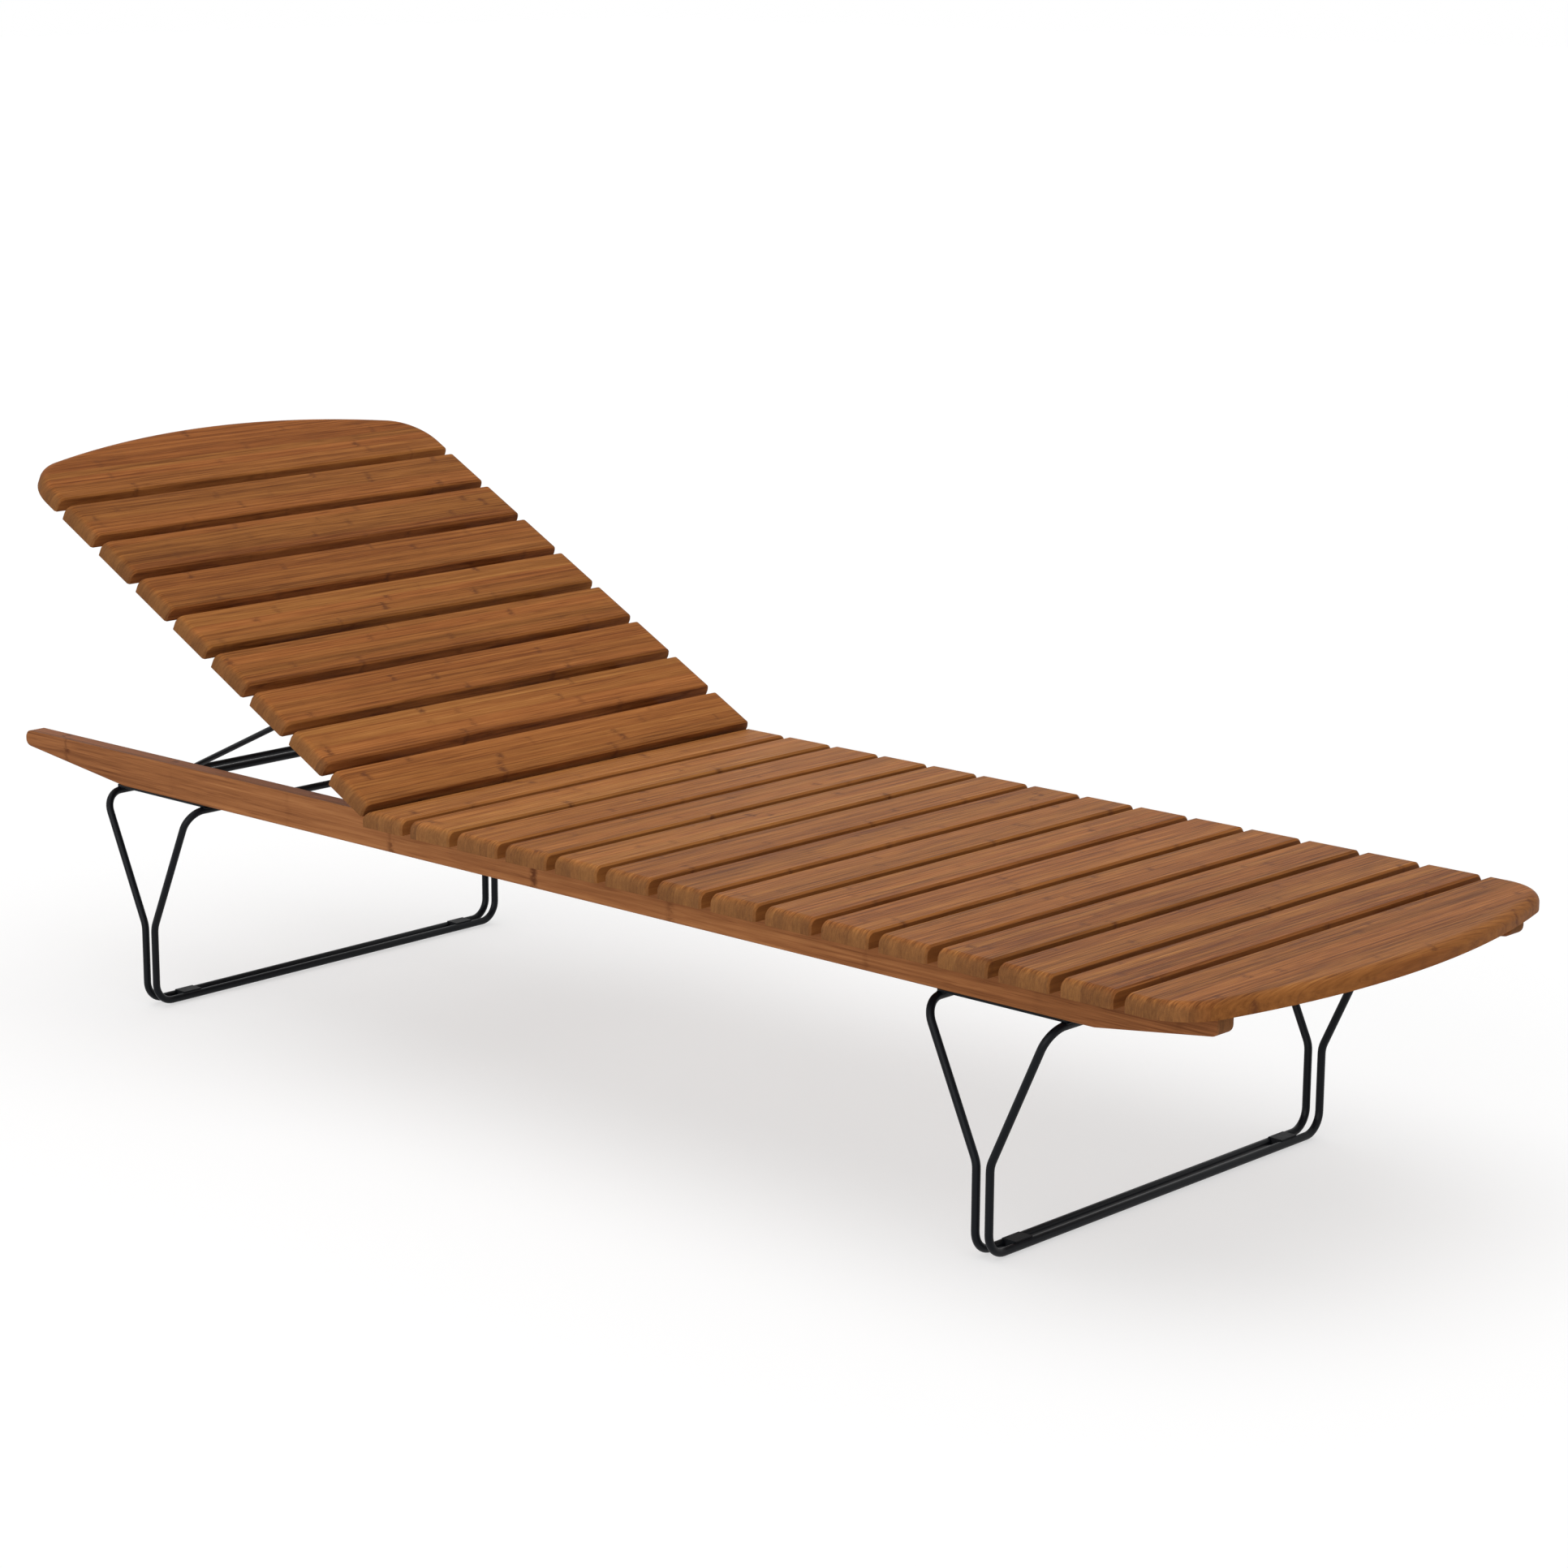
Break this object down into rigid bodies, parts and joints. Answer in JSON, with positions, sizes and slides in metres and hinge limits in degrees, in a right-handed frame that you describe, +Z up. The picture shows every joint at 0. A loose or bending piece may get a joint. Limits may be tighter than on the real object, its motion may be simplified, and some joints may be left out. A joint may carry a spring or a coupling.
{
  "type": "sun lounger",
  "caption": "Low slatted lounger with bowed end slats on two splayed bent-rod legs, its hinged backrest propped by a rod stay.",
  "frame": {"origin": "floor level, under the middle of the footprint", "axes": "+X to the left of a person who lies on it, +Y along it from the foot end to the head end, +Z up"},
  "size_m": [0.716, 2.142, 0.7542],
  "materials": {
    "bamboo": "oiled, satin",
    "black_steel": "satin powder coat",
    "dark_hardware": "blackened",
    "glide_plastic": "matte"
  },
  "bodies": {
    "frame": {"side_rail_left": "bamboo", "side_rail_right": "bamboo", "seat_slat_01": "bamboo", "seat_slat_02": "bamboo", "seat_slat_03": "bamboo", "seat_slat_04": "bamboo", "seat_slat_05": "bamboo", "seat_slat_06": "bamboo", "seat_slat_07": "bamboo", "seat_slat_08": "bamboo", "seat_slat_09": "bamboo", "seat_slat_10": "bamboo", "seat_slat_11": "bamboo", "seat_slat_12": "bamboo", "seat_slat_13": "bamboo", "seat_slat_14": "bamboo", "foot_slat": "bamboo", "front_leg_foot_side_rod": "black_steel", "front_leg_head_side_rod": "black_steel", "rear_leg_foot_side_rod": "black_steel", "rear_leg_head_side_rod": "black_steel", "front_leg_plate_left": "black_steel", "front_leg_plate_right": "black_steel", "rear_leg_plate_left": "black_steel", "rear_leg_plate_right": "black_steel", "front_glide_left": "glide_plastic", "front_glide_right": "glide_plastic", "rear_glide_left": "glide_plastic", "rear_glide_right": "glide_plastic", "catch_rack_left": "black_steel", "catch_rack_right": "black_steel", "hinge_bolts": "dark_hardware"},
    "backrest": {"backrest_slat_01": "bamboo", "backrest_slat_02": "bamboo", "backrest_slat_03": "bamboo", "backrest_slat_04": "bamboo", "backrest_slat_05": "bamboo", "backrest_slat_06": "bamboo", "backrest_slat_07": "bamboo", "backrest_slat_08": "bamboo", "head_slat": "bamboo", "backrest_batten_left": "bamboo", "backrest_batten_right": "bamboo", "hinge_strap_left": "black_steel", "hinge_strap_right": "black_steel"},
    "stay": {"support_stay": "black_steel"}
  },
  "joints": [
    {"name": "backrest_tilt", "type": "hinge", "parent": "frame", "child": "backrest", "pos_m": [0, 0.26325, 0.3336], "axis": [1, 0, 0], "range_deg": [-27.75, 15.25]},
    {"name": "stay_swing", "type": "hinge", "parent": "backrest", "child": "stay", "pos_m": [0, 0.50397, 0.45336], "axis": [1, 0, 0], "range_deg": [-28.5, 51.8]}
  ],
  "couplings": [
    {"joint": "stay_swing", "follows": "backrest_tilt", "ratio": -1.865}
  ]
}
